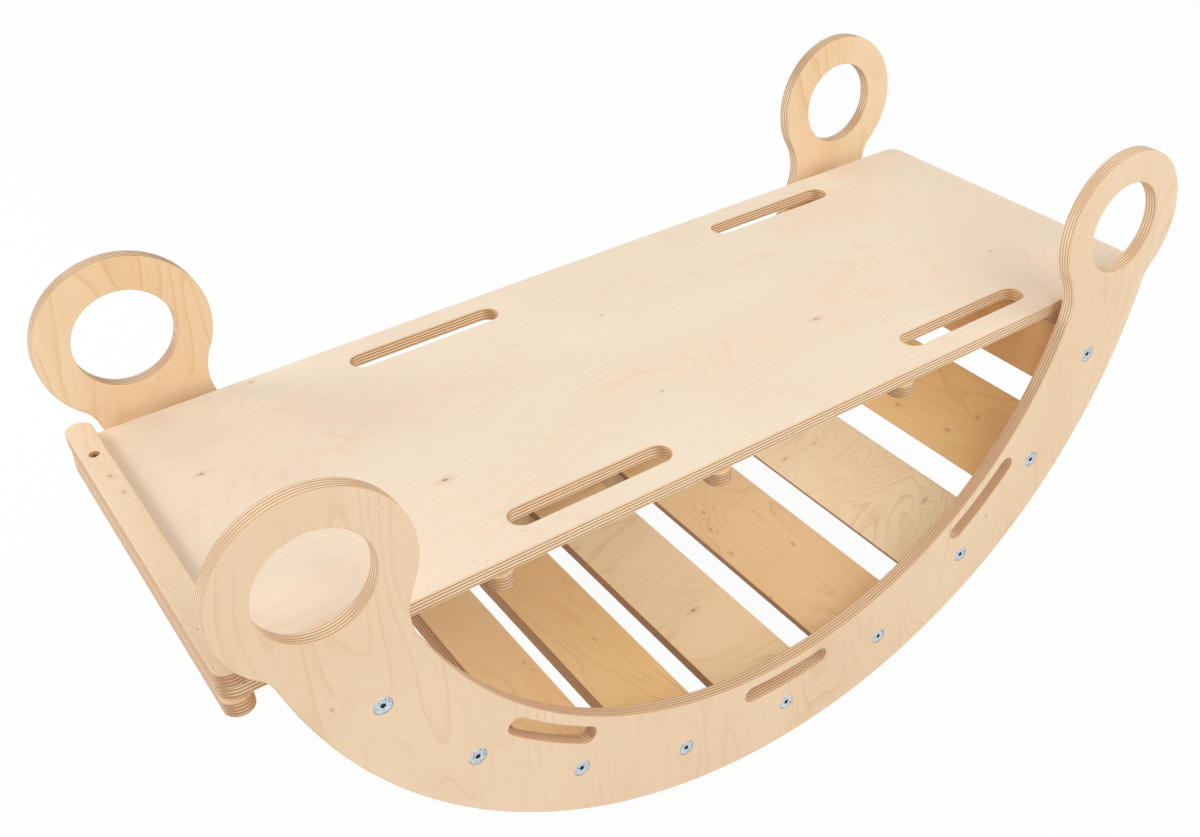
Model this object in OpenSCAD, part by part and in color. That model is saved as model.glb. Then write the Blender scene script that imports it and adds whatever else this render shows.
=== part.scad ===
// Wooden rocker arch: two curved side panels with handle rings, joined by flat
// slats, and a loose climbing board that lies across the top.
// Millimetres. +X runs along the board, +Y away from the front, +Z up.
// The origin is on the floor, under the middle of the arc.

/* [Plywood] */
// Thickness of the birch plywood that every wooden piece is cut from
ply_t = 12; // [10:0.5:15]

/* [Rocker arc] */
// Radius of the curved edge that the rocker stands on
rocker_r = 415; // [400:1:430]
// Width of the arm, from the curved outer edge to the inner edge
arm_w = 87; // [80:1:95]
// Distance between the inner faces of the two side panels
inside_w = 350; // [345:1:420]

/* [Handle rings] */
// Outer radius of a handle ring
ring_r = 67.8; // [64:0.2:72]
// Radius of the hand hole in a handle ring
ring_hole_r = 40; // [34:0.5:44]
// Distance from the curved outer edge in to the centre of a ring
ring_inset = 49; // [45:0.5:53]
// Angle of a ring's centre from the lowest point of the arc, in degrees
ring_angle = 83.1; // [80:0.1:86]
// Radius of the hollow sweep from a ring into the inner edge
neck_r = 50; // [40:1:55]
// Radius of the hollow sweep between a ring and the curved outer edge
notch_r = 25; // [15:1:35]

/* [Grip slots in the side panels] */
// Distance from the arm's inner edge to the centre line of a grip slot
grip_from_inner = 17; // [15:0.5:20]
// Width of a grip slot
grip_w = 15; // [12:0.5:16]
// Angle from a grip slot's middle to the centre of its round end, in degrees
grip_half_angle = 6; // [4:0.25:7]
// Angle between one grip slot and the next, in degrees
grip_step_angle = 40; // [38:0.5:42]

/* [Slats] */
// Width of a slat, measured along the arc
slat_w = 81; // [74:0.5:88]
// Distance from the curved outer edge in to the middle of a slat's thickness
slat_inset = 40; // [34:0.5:44]
// Angle between one slat and the next, in degrees
slat_step_angle = 16.2; // [15:0.1:17]

/* [Climbing board] */
// Gap between a long edge of the board and the side panel beside it
board_side_gap = 10.5; // [5:0.5:20]
// How far the board's batten end reaches past the end slat that carries it
batten_end_reach = 77.6; // [70:0.1:85]
// How far the board's far end reaches past the end slat that carries it
far_end_reach = 82.2; // [75:0.1:90]
// Radius of the board's four corners in plan
board_corner_r = 13; // [6:0.5:24]
// Gap under the board where it lies on the two end slats
board_seat_gap = 0.2; // [0.1:0.05:0.4]

/* [Slots in the board] */
// Width of a slot
slot_w = 22.5; // [18:0.5:26]
// Gap between a slot's ends and the two rungs beside it, where it lies midway
slot_end_gap = 14.3; // [8:0.1:24]
// How far the slots nearest the batten lie past the middle between their rungs
batten_slot_shift = 0.3; // [0:0.1:5]
// How far the slots nearest the far end lie past the middle between their rungs
far_slot_shift = 3; // [0:0.1:7]
// Distance from the board's long edge to the centre line of its slots
slot_from_side = 33.8; // [30:0.1:44]

/* [Rungs and batten] */
// Width of a rung and of the batten
rung_w = 20.5; // [18:0.5:24]
// How far the ends of the rungs and the batten stand out past the board's long edges
rung_overhang = 3.5; // [0:0.5:4.5]
// Gap between the last rung and the inner edge of the slat that stops it
last_rung_gap = 13.2; // [10:0.1:20]
// Distance from a rung's end to its screw
rung_screw_inset = 51; // [30:1:70]

/* [Panel screws] */
// Radius of the flat washer head
head_r = 6.7; // [6:0.1:7.4]
// Thickness of the washer head
head_t = 1.8; // [1.4:0.1:2.2]
// How far the head's face lies below the panel's face
head_sink = 0.25; // [0.1:0.05:0.5]
// Gap round the head in its recess
head_gap = 0.35; // [0.2:0.05:0.6]
// Radius of the shank
shank_r = 2.5; // [2:0.1:3]
// Length under the head, with the tip
shank_l = 50; // [40:1:60]
// Length of the pointed tip
tip_l = 5; // [3:0.5:7]
// Radius of the blunt end of the tip
tip_end_r = 0.4; // [0.3:0.1:0.8]
// Radius of the clearance hole through the panel
panel_hole_r = 3.1; // [3.1:0.1:3.6]
// Radius out to the points of the six-lobed drive recess
drive_r = 2.15; // [1.8:0.05:2.3]
// Radius of one lobe of the drive recess
drive_lobe_r = 0.55; // [0.4:0.05:0.7]
// Depth of the drive recess
drive_depth = 1.5; // [1:0.1:1.7]

/* [Board screws] */
// Radius of the head of a batten screw or a rung screw
small_head_r = 3.5; // [3:0.1:3.8]
// Thickness of that head
small_head_t = 2; // [1.6:0.1:2.4]
// Radius of the shank
small_shank_r = 1.9; // [1.6:0.1:2.1]
// Radius of the sunk hole that hides the head
sunk_hole_r = 4; // [3.9:0.1:4.5]
// Depth from the batten's top down to the seat of its screw's head
batten_sink = 5; // [4:0.5:6]
// Depth from a rung's underside up to the seat of its screw's head
rung_sink = 4; // [3:0.5:5]
// Length of a batten screw under the head
batten_screw_l = 24; // [22:0.5:26]
// Length of a rung screw under the head
rung_screw_l = 15; // [12:0.5:16]
// Radius out to the points of the small drive recess
small_drive_r = 1.7; // [1.4:0.05:1.8]
// Depth of the small drive recess
small_drive_depth = 1.4; // [1:0.1:1.5]

/* [Dowels] */
// Radius of the wooden pegs that stop each slat from turning on its screw
dowel_r = 3; // [2.5:0.1:3.5]
// Length of a peg
dowel_l = 24; // [20:1:26]
// How deep a peg goes into the side panel
dowel_in_panel = 8; // [6:0.5:8.5]
// Distance from a slat's centre line to each of its pegs
dowel_offset = 26; // [22:0.5:32]
// Gap round a peg, and round a screw where its thread bites
snug_gap = 0.05; // [0.03:0.01:0.08]
// Spare depth past the end of a peg or a screw
end_gap = 0.5; // [0.3:0.1:0.8]

/* [Hidden] */
$fn = 96;

slat_count = 9;
rung_count = 5;
grip_count = 3;
lobe_count = 6;
panel_colour = "#EBD0AE";
slat_colour = "#D9B384";
board_colour = "#EEDCBF";
rung_colour = "#E3C79E";
steel_colour = "#CDD8DE";
sunk_steel_colour = "#6E7072";
dowel_colour = "#D8B98C";

// One overrun serves every cut, and one reach is past everything on the arc
cut = ply_t / 12;
reach = 2 * rocker_r;
// The round ends of a grip slot reach this little past its sides, so that the outlines cross cleanly
crossing = ply_t / 600;

inner_r = rocker_r - arm_w;
ring_at_r = rocker_r - ring_inset;
grip_r = inner_r + grip_from_inner;
slat_r = rocker_r - slat_inset;
outside_w = inside_w + 2 * ply_t;

// A triangle's angle between the sides a and b, opposite the side c
function corner(a, b, c) = acos((a * a + b * b - c * c) / (2 * a * b));
// A point of the side view, at radius r from the arc's centre and angle a from straight down
function spot(r, a) = [r * sin(a), -r * cos(a)];
function slat_angle(i) = (i - (slat_count + 1) / 2) * slat_step_angle;
function grip_angle(i) = (i - (grip_count + 1) / 2) * grip_step_angle;

// The two fillets of a ring, each by the centre that touches both edges
neck_at_r = inner_r - neck_r;
neck_angle = ring_angle - corner(ring_at_r, neck_at_r, ring_r + neck_r);
notch_at_r = rocker_r + notch_r;
notch_angle = ring_angle - corner(ring_at_r, notch_at_r, ring_r + notch_r);

// The board lies on the upper inner corners of the first and last slats
end_slat_angle = slat_angle(slat_count);
seat_x = (slat_r - ply_t / 2) * sin(end_slat_angle) + slat_w / 2 * cos(end_slat_angle);
seat_z = rocker_r - (slat_r - ply_t / 2) * cos(end_slat_angle) + slat_w / 2 * sin(end_slat_angle);
board_x = -seat_x - batten_end_reach;
board_z = seat_z + board_seat_gap;
board_l = batten_end_reach + 2 * seat_x + far_end_reach;
board_w = inside_w - 2 * board_side_gap;

// The first rung is flush with the batten end, and the last one stands just inside the far end slat
first_rung_x = board_x + rung_w / 2;
last_rung_x = seat_x - last_rung_gap - rung_w / 2;
rung_step = (last_rung_x - first_rung_x) / (rung_count - 1);
rung_l = board_w + 2 * rung_overhang;
rung_screw_y = rung_l / 2 - rung_screw_inset;
function rung_x(i) = first_rung_x + (i - 1) * rung_step;

// Two pairs of slots, each between two rungs
slot_l = rung_step - rung_w - 2 * slot_end_gap;
batten_slot_x = (rung_x(2) + rung_x(3)) / 2 + batten_slot_shift;
far_slot_x = (rung_x(rung_count - 1) + rung_x(rung_count)) / 2 + far_slot_shift;

// The side views below are drawn round the arc's centre.
// A band between the radii r1 and r2, a degrees to each side of straight down
module band(r1, r2, a) {
    intersection() {
        difference() {
            circle(r2);
            circle(r1);
        }
        polygon(concat([[0, 0]], [for (i = [-3:3]) spot(reach, a * i / 3)]));
    }
}

// A hollow fillet of radius r about a centre that is just off two edges. The points a and b
// lie inside the two pieces it joins, and follow the centre counter-clockwise.
module hollow_fillet(r, centre, a, b) {
    difference() {
        polygon([centre, a, b]);
        translate(centre) circle(r);
    }
}

// One handle ring with the fillets that blend it into the arm
module ring_outline() {
    ring_centre = spot(ring_at_r, ring_angle);
    translate(ring_centre) circle(ring_r);
    hollow_fillet(neck_r, spot(neck_at_r, neck_angle), spot(rocker_r - arm_w / 2, neck_angle), ring_centre);
    hollow_fillet(notch_r, spot(notch_at_r, notch_angle), ring_centre, spot(rocker_r - arm_w / 2, notch_angle));
}

// The grip slot number i: a curved stadium
module grip_outline(i) {
    rotate(grip_angle(i)) {
        band(grip_r - grip_w / 2, grip_r + grip_w / 2, grip_half_angle);
        for (s = [-1, 1]) translate(spot(grip_r, s * grip_half_angle)) circle(grip_w / 2 + crossing);
    }
}

// A whole panel, with its hand holes and grip slots
module panel_outline() {
    difference() {
        union() {
            band(inner_r, rocker_r, ring_angle);
            ring_outline();
            mirror([1, 0]) ring_outline();
        }
        for (s = [-1, 1]) translate(spot(ring_at_r, s * ring_angle)) circle(ring_hole_r);
        for (i = [1:grip_count]) grip_outline(i);
    }
}

// Puts what is drawn below the arc's centre at angle a along the arc
module round_arc(a) {
    translate([0, 0, rocker_r]) rotate([0, -a, 0]) children();
}

// Faces into the back panel from a plane at depth y, at the end of slat number i
module into_slat_end(i, y, offset = 0) {
    round_arc(slat_angle(i)) translate([offset, y, -slat_r]) rotate([90, 0, 0]) children();
}

// A straight plug with six lobes, cut into a screw head from its face
module six_lobes(r, lobe_r, depth) {
    translate([0, 0, -cut]) {
        cylinder(h = depth + cut, r = r - lobe_r);
        for (k = [1:lobe_count]) rotate(k * 360 / lobe_count) translate([r - lobe_r, 0, 0])
            cylinder(h = depth + cut, r = lobe_r);
    }
}

// A washer-head screw with its face at zero, pointing up
module panel_screw() {
    difference() {
        union() {
            cylinder(h = head_t, r = head_r);
            cylinder(h = head_t + shank_l - tip_l, r = shank_r);
            translate([0, 0, head_t + shank_l - tip_l]) cylinder(h = tip_l, r1 = shank_r, r2 = tip_end_r);
        }
        six_lobes(drive_r, drive_lobe_r, drive_depth);
    }
}

// A small screw of a given length with the seat of its head at zero, pointing up
module small_screw(l) {
    difference() {
        union() {
            translate([0, 0, -small_head_t]) cylinder(h = small_head_t, r = small_head_r);
            cylinder(h = l - tip_l, r = small_shank_r);
            translate([0, 0, l - tip_l]) cylinder(h = tip_l, r1 = small_shank_r, r2 = tip_end_r);
        }
        translate([0, 0, -small_head_t])
            six_lobes(small_drive_r, drive_lobe_r * small_drive_r / drive_r, small_drive_depth);
    }
}

// The back panel; the front one is its mirror image
module side_panel() {
    color(panel_colour) difference() {
        translate([0, outside_w / 2, rocker_r]) rotate([90, 0, 0]) linear_extrude(ply_t) panel_outline();
        for (i = [1:slat_count]) {
            into_slat_end(i, outside_w / 2 + cut) cylinder(h = cut + head_sink + head_t, r = head_r + head_gap);
            into_slat_end(i, outside_w / 2 + cut) cylinder(h = ply_t + 2 * cut, r = panel_hole_r);
            for (s = [-1, 1]) into_slat_end(i, inside_w / 2 + dowel_in_panel + end_gap, s * dowel_offset)
                cylinder(h = dowel_in_panel + end_gap + cut, r = dowel_r + snug_gap);
        }
    }
}

// How far a panel screw and a peg reach into a slat
screw_in_slat = head_sink + head_t + shank_l - ply_t;
dowel_in_slat = dowel_l - dowel_in_panel;

// The holes in the back end of slat number i
module slat_holes(i) {
    into_slat_end(i, inside_w / 2 + cut) cylinder(h = cut + screw_in_slat + end_gap, r = shank_r + snug_gap);
    for (s = [-1, 1]) into_slat_end(i, inside_w / 2 + cut, s * dowel_offset)
        cylinder(h = cut + dowel_in_slat + end_gap, r = dowel_r + snug_gap);
}

module slat(i) {
    color(slat_colour) difference() {
        round_arc(slat_angle(i)) translate([-slat_w / 2, -inside_w / 2, -slat_r - ply_t / 2])
            cube([slat_w, inside_w, ply_t]);
        slat_holes(i);
        mirror([0, 1, 0]) slat_holes(i);
    }
}

// The screws of the back panel, one into each slat
module slat_screws() {
    color(steel_colour) for (i = [1:slat_count]) into_slat_end(i, outside_w / 2 - head_sink) panel_screw();
}

// The pegs between the back panel and the slats, two at each slat
module slat_dowels() {
    color(dowel_colour) for (i = [1:slat_count], s = [-1, 1])
        into_slat_end(i, inside_w / 2 + dowel_in_panel, s * dowel_offset) cylinder(h = dowel_l, r = dowel_r);
}

// Plan of a slot or a rung: a rectangle with half-round ends, l long along X
module stadium(l, w) {
    square([l - w, w], center = true);
    for (s = [-1, 1]) translate([s * (l - w) / 2, 0]) circle(w / 2);
}

// Plan of the board
module board_outline() {
    difference() {
        translate([board_x, 0]) union() {
            translate([board_corner_r, -board_w / 2]) square([board_l - 2 * board_corner_r, board_w]);
            translate([0, board_corner_r - board_w / 2]) square([board_l, board_w - 2 * board_corner_r]);
            for (x = [board_corner_r, board_l - board_corner_r], s = [-1, 1])
                translate([x, s * (board_w / 2 - board_corner_r)]) circle(board_corner_r);
        }
        for (x = [batten_slot_x, far_slot_x], s = [-1, 1])
            translate([x, s * (board_w / 2 - slot_from_side)]) stadium(slot_l, slot_w);
    }
}

// The two screw places across the board at rung number i, at the height z
module at_rung_screws(i, z) {
    for (s = [-1, 1]) translate([rung_x(i), s * rung_screw_y, z]) children();
}

// Two holes for the batten's screws, from its top down through the board into the first rung
module batten_screw_holes() {
    at_rung_screws(1, board_z + 2 * ply_t - batten_sink - batten_screw_l - end_gap)
        cylinder(h = batten_screw_l + end_gap + cut, r = small_shank_r + snug_gap);
    at_rung_screws(1, board_z + 2 * ply_t - batten_sink) cylinder(h = batten_sink + cut, r = sunk_hole_r);
}

// Two holes for the screws of rung number i, from its underside up into the board
module rung_screw_holes(i) {
    at_rung_screws(i, board_z - ply_t - cut) cylinder(h = rung_sink + cut, r = sunk_hole_r);
    at_rung_screws(i, board_z - ply_t + rung_sink - cut)
        cylinder(h = cut + rung_screw_l + end_gap, r = small_shank_r + snug_gap);
}

module board() {
    color(board_colour) difference() {
        translate([0, 0, board_z]) linear_extrude(ply_t) board_outline();
        batten_screw_holes();
        for (i = [2:rung_count]) rung_screw_holes(i);
    }
}

// A bar of plywood across the board at the place of rung number i, its underside at z
module cross_bar(i, z) {
    translate([rung_x(i), 0, z]) rotate(90) linear_extrude(ply_t) stadium(rung_l, rung_w);
}

module end_batten() {
    color(rung_colour) difference() {
        cross_bar(1, board_z + ply_t);
        batten_screw_holes();
    }
}

module rung(i) {
    color(rung_colour) difference() {
        cross_bar(i, board_z - ply_t);
        if (i == 1) batten_screw_holes();
        else rung_screw_holes(i);
    }
}

module batten_screws() {
    color(sunk_steel_colour) at_rung_screws(1, board_z + 2 * ply_t - batten_sink)
        rotate([180, 0, 0]) small_screw(batten_screw_l);
}

module rung_screws() {
    color(sunk_steel_colour) for (i = [2:rung_count])
        at_rung_screws(i, board_z - ply_t + rung_sink) small_screw(rung_screw_l);
}

mirror([0, 1, 0]) side_panel();  // side_panel_front
side_panel();  // side_panel_back
slat(1);  // slat_1
slat(2);  // slat_2
slat(3);  // slat_3
slat(4);  // slat_4
slat(5);  // slat_5
slat(6);  // slat_6
slat(7);  // slat_7
slat(8);  // slat_8
slat(9);  // slat_9
mirror([0, 1, 0]) slat_screws();  // slat_screws_front
slat_screws();  // slat_screws_back
mirror([0, 1, 0]) slat_dowels();  // slat_dowels_front
slat_dowels();  // slat_dowels_back
board();
end_batten();
rung(1);  // rung_1
rung(2);  // rung_2
rung(3);  // rung_3
rung(4);  // rung_4
rung(5);  // rung_5
batten_screws();
rung_screws();
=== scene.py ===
"""The looks of a wooden rocker arch with its climbing board.

Every wooden piece is birch plywood: a flat outline with rounded edges, cut from a sheet whose layers and
figure its finish draws. Sizes are in millimetres, but for the studio's floor, lamps and clipping distances,
which are in Blender's metres.
"""

import logging
import math
from collections.abc import Callable, Iterable
from dataclasses import dataclass, field, replace
from enum import Enum
from functools import partial

import bpy
import numpy as np
from mathutils import Matrix, Vector

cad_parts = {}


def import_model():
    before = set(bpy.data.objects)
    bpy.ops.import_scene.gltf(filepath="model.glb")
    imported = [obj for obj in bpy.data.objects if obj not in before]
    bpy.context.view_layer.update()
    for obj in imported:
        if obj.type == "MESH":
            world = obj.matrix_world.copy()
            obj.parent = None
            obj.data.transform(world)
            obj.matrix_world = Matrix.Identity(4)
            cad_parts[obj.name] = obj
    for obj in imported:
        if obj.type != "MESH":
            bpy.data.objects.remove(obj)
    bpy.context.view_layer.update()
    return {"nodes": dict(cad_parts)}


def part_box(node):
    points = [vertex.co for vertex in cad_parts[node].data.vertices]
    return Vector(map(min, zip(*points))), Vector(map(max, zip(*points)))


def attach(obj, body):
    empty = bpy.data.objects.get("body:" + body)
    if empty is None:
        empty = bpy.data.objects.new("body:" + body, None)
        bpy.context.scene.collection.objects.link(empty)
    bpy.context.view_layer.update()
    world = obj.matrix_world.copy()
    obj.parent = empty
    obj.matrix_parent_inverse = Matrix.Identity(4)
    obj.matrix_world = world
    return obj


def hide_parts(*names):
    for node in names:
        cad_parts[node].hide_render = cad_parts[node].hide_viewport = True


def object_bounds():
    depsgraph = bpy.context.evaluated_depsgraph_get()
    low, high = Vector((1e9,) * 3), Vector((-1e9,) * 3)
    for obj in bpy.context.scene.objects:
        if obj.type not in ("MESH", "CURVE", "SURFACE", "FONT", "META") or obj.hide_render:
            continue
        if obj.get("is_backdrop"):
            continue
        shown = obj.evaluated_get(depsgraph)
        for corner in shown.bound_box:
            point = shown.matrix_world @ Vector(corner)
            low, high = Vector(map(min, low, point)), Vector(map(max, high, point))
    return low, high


LOG = logging.getLogger("rocker_arch")
MM = 0.001
Pair = tuple[float, float]
Triple = tuple[float, float, float]
Loop = list[Pair]
Object = bpy.types.Object
Material = bpy.types.Material
Socket = bpy.types.NodeSocket
Adder = Callable[..., Socket]

# Shared sizes in millimetres. The last three are how far a cutter passes what it cuts, how close points are
# welded, and the longest step along an arc
SHEET_THICKNESS = 12.0
RELIEF = 0.05
OVERRUN = 1.0
WELD = 0.002
ARC_STEP = 3.0

# An arc has at least this many steps to a radius, and a hole's wall lies within this many radii of its axis
ARC_STEPS_PER_RADIUS = 10
WALL_REACH = 1.02


class Body(Enum):
    """The bodies of the frame that pieces ride on."""

    ROCKER = "rocker"
    DECK = "deck"


class Grain(Enum):
    """Which way a piece's face veneer runs, in degrees from the outline's own x axis."""

    ALONG_X = 0.0
    ALONG_Y = 90.0


def linear(hex_colour: str) -> tuple[float, float, float, float]:
    """Turn an sRGB colour, written "#RRGGBB", to a linear one with an alpha of one."""
    shares = [int(hex_colour[i : i + 2], 16) / 255 for i in (1, 3, 5)]
    red, green, blue = (s / 12.92 if s <= 0.04045 else ((s + 0.055) / 1.055) ** 2.4 for s in shares)
    return red, green, blue, 1.0


def add_node(tree: bpy.types.NodeTree, kind: str, settings: dict | None = None, inputs: dict | None = None,
             output: int | str = 0) -> Socket:
    """Add a shader node with its settings and links.

    Args:
        tree: The node tree it goes into.
        kind: The node's type, without its "ShaderNode".
        settings: Properties of the node by name.
        inputs: Values or output sockets by the name or number of the input.
        output: The name or number of the output that is wanted.

    Returns:
        That output of the new node.
    """
    node = tree.nodes.new("ShaderNode" + kind)
    for name, value in (settings or {}).items():
        setattr(node, name, value)
    for key, value in (inputs or {}).items():
        if isinstance(value, Socket):
            tree.links.new(value, node.inputs[key])
        else:
            node.inputs[key].default_value = value
    return node.outputs[output] if node.outputs else None


def new_material(name: str) -> tuple[Material, Adder]:
    """Make an empty node material, and what adds a node to it."""
    material = bpy.data.materials.new(name)
    material.use_nodes = True
    material.node_tree.nodes.clear()
    return material, partial(add_node, material.node_tree)


def new_object(name: str, data: bpy.types.ID) -> Object:
    """Make an object from its data and link it to the scene."""
    thing = bpy.data.objects.new(name, data)
    bpy.context.scene.collection.objects.link(thing)
    return thing


def register(piece: Object, body: Body, node: str) -> None:
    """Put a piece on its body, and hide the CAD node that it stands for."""
    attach(piece, body.value)
    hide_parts(node)


# Finishes


# Settings that many nodes share
SMOOTH = {"interpolation_type": "SMOOTHSTEP"}
COLOURS = {"data_type": "RGBA"}
MULTIPLY = {"operation": "MULTIPLY"}
MULTIPLY_ADD = {"operation": "MULTIPLY_ADD"}
LARGER = {"operation": "MAXIMUM"}
COSINE = {"operation": "COSINE"}

# A Mix node's colour sockets by number, because its sockets for numbers have the same names
FROM, TO, MIXED = 6, 7, 2

# A MapRange node's inputs by number: START to END becomes LOW to HIGH, which are 0 and 1 unless given
START, END, LOW, HIGH = 1, 2, 3, 4


@dataclass(frozen=True)
class Knot:
    """A pin knot, at a place on the sheet in millimetres."""

    along: float
    across: float
    size: float


@dataclass(frozen=True)
class Marking:
    """One scale of cloudy marking in the wood, in millimetres along, across and through the sheet."""

    along: float
    across: float
    through: float = 4000.0
    detail: float = 2.0
    swirl: float = 0.0


@dataclass(frozen=True)
class BirchPlywood:
    """Birch plywood of nine rotary-cut veneers, sanded and sealed with a clear satin lacquer.

    To the eye it is a pale cream face with fine tan growth lines that wander like contours, and edges
    of cream and brown stripes. The veneers that show their end grain are the dark ones, and a thin
    honey line marks the rounded rim of the face veneer, where the lacquer soaks in.
    """

    name: str
    pale: str = "#F5E1C8"
    warm: str = "#F1D9BC"
    growth_line: str = "#DDB184"
    side_grain: str = "#F4E0C2"
    end_grain: str = "#BA864F"
    rim: str = "#E5B87F"
    fleck: str = "#B9854F"
    knot: str = "#6E4426"
    thickness: float = SHEET_THICKNESS
    veneers: int = 9
    figure: Marking = Marking(300.0, 95.0, detail=1.6, swirl=0.35)
    rings: float = 38.0
    line_strength: float = 0.5
    line_relief: float = 0.4
    fine_count: float = 2.7
    fine_strength: float = 0.3
    season_power: float = 5.0
    season_stop: float = 0.92
    ripple: float = 0.03
    wobble: float = 0.44
    tint: float = 0.3
    tint_floor: float = 0.13
    edge_roughness: float = 0.7
    face_roughness: float = 0.48
    knots: tuple[Knot, ...] = ()

    def material(self) -> Material:
        """Write the finish as a node material that reads the piece's place on its sheet."""
        material, add = new_material(self.name)
        place = add("Attribute", {"attribute_name": "sheet"}, output="Vector")
        facing = add("Attribute", {"attribute_name": "facing"}, output="Vector")
        normal = add("SeparateXYZ", inputs={0: facing}).node.outputs
        sides = [add("Math", {"operation": "ABSOLUTE"}, {0: normal[axis]}) for axis in range(3)]
        marks = self._markings(add, place)
        face, relief = self._face(add, place, marks)
        edge = self._edge(add, place, sides, marks)
        is_face = add("MapRange", SMOOTH, {0: sides[2], START: 0.55, END: 0.8})
        veneer = add("Mix", COLOURS, {0: is_face, FROM: edge, TO: face}, MIXED)
        rises = add("MapRange", SMOOTH, {0: sides[2], START: 0.1, END: 0.45, HIGH: 0.6})
        falls = add("MapRange", SMOOTH, {0: sides[2], START: 0.8, END: 0.985, LOW: 1.0, HIGH: 0.0})
        rim = add("Math", MULTIPLY, {0: rises, 1: falls})
        colour = add("Mix", COLOURS, {0: rim, FROM: veneer, TO: linear(self.rim)}, MIXED)
        roughness = add("MapRange", inputs={0: is_face, LOW: self.edge_roughness, HIGH: self.face_roughness})
        bump = add("Bump", inputs={"Strength": 0.25, "Distance": RELIEF * MM, "Height": relief})
        shader = add("BsdfPrincipled", inputs={
            "Base Color": colour, "Roughness": roughness, "Normal": bump, "IOR": 1.5,
            "Specular IOR Level": 0.35, "Coat Weight": 0.06, "Coat Roughness": 0.35})
        add("OutputMaterial", inputs={"Surface": shader})
        return material

    def _markings(self, add: Adder, place: Socket) -> dict[str, Socket]:
        """Draw every scale of marking that the wood mixes, by name."""
        wanted = {
            "figure": self.figure,
            "ripple": Marking(46.0, 13.0),
            "patch": Marking(150.0, 70.0, detail=1.0),
            "cloud": Marking(260.0, 120.0),
            "fibre": Marking(16.0, 0.8, detail=3.0),
            "fleck": Marking(9.0, 1.1, detail=1.0),
            "fleck_patch": Marking(60.0, 25.0, detail=1.0),
            "wobble": Marking(70.0, 70.0, 9.0),
            "ply_tint": Marking(26.0, 26.0, 2.0, 1.0),
            "void": Marking(15.0, 15.0, 1.3, 1.0),
        }
        drawn = {}
        for name, mark in wanted.items():
            scale = [1 / (size * MM) for size in (mark.along, mark.across, mark.through)]
            at = add("Mapping", inputs={"Vector": place, "Scale": scale})
            drawn[name] = add("TexNoise", inputs={
                "Vector": at, "Scale": 1.0, "Detail": mark.detail, "Distortion": mark.swirl})
        return drawn

    def _face(self, add: Adder, place: Socket, marks: dict[str, Socket]) -> tuple[Socket, Socket]:
        """Draw the face veneer.

        Args:
            add: Adds a node to the finish.
            place: The place on the sheet.
            marks: The markings by name.

        Returns:
            The face's colour, and its relief for a bump.
        """
        height = add("Math", MULTIPLY_ADD, {0: marks["ripple"], 1: self.ripple, 2: marks["figure"]})
        spots = []
        for knot in self.knots:
            core, halo, lift = self._knot(add, place, knot)
            height = add("Math", inputs={0: height, 1: lift})
            spots += [(halo, self.fleck), (core, self.knot)]
        strength = add("MapRange", SMOOTH, {0: marks["patch"], START: 0.36, END: 0.66, LOW: 0.2, HIGH: 1.0})
        ground = add("MapRange", SMOOTH, {0: marks["cloud"], START: 0.3, END: 0.7})
        layers = [(ground, self.warm)]
        relief = marks["fibre"]
        # Each season's growth darkens slowly and stops short, and finer lines lie between the bold ones
        bold = (self.rings, self.line_strength)
        fine = (self.fine_count * self.rings, self.fine_strength * self.line_strength)
        for count, share in (bold, fine):
            turns = add("Math", MULTIPLY, {0: height, 1: count})
            season = add("Math", {"operation": "FRACT"}, {0: turns})
            dark = add("Math", {"operation": "POWER"}, {0: season, 1: self.season_power})
            light = add("MapRange", SMOOTH, {0: season, START: self.season_stop, LOW: share, HIGH: 0.0})
            line = add("Math", MULTIPLY, {0: dark, 1: light})
            line = add("Math", MULTIPLY, {0: line, 1: strength})
            relief = add("Math", MULTIPLY_ADD, {0: line, 1: -self.line_relief, 2: relief})
            layers.append((line, self.growth_line))
        streak = add("MapRange", SMOOTH, {0: marks["fibre"], START: 0.5, END: 0.8, HIGH: 0.2})
        dash = add("MapRange", SMOOTH, {0: marks["fleck"], START: 0.7, END: 0.77, HIGH: 0.6})
        where = add("MapRange", SMOOTH, {0: marks["fleck_patch"], START: 0.5, END: 0.6})
        dash = add("Math", MULTIPLY, {0: dash, 1: where})
        colour = linear(self.pale)
        for share, tone in (*layers, (streak, self.growth_line), (dash, self.fleck), *spots):
            colour = add("Mix", COLOURS, {0: share, FROM: colour, TO: linear(tone)}, MIXED)
        return colour, relief

    def _knot(self, add: Adder, place: Socket, knot: Knot) -> tuple[Socket, ...]:
        """How dark a pin knot's core and halo are here, and how far it pushes the growth lines away."""
        # A knot reaches twice as far along the grain as across it
        stretch = Vector((0.5, 1.0, 0.0))
        centre = Vector((knot.along, knot.across, 0.0)) * stretch * MM
        flat = add("VectorMath", MULTIPLY, {0: place, 1: stretch})
        far = add("VectorMath", {"operation": "DISTANCE"}, {0: flat, 1: centre}, "Value")
        size = knot.size * MM
        # How many knot sizes each effect reaches, and how strong it is at the middle
        core, halo, lift = (0.75, 0.85), (3.0, 0.3), (9.0, 0.06)
        return tuple(
            add("MapRange", SMOOTH, {0: far, START: 0.0, END: reach * size, LOW: share, HIGH: 0.0})
            for reach, share in (core, halo, lift))

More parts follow.
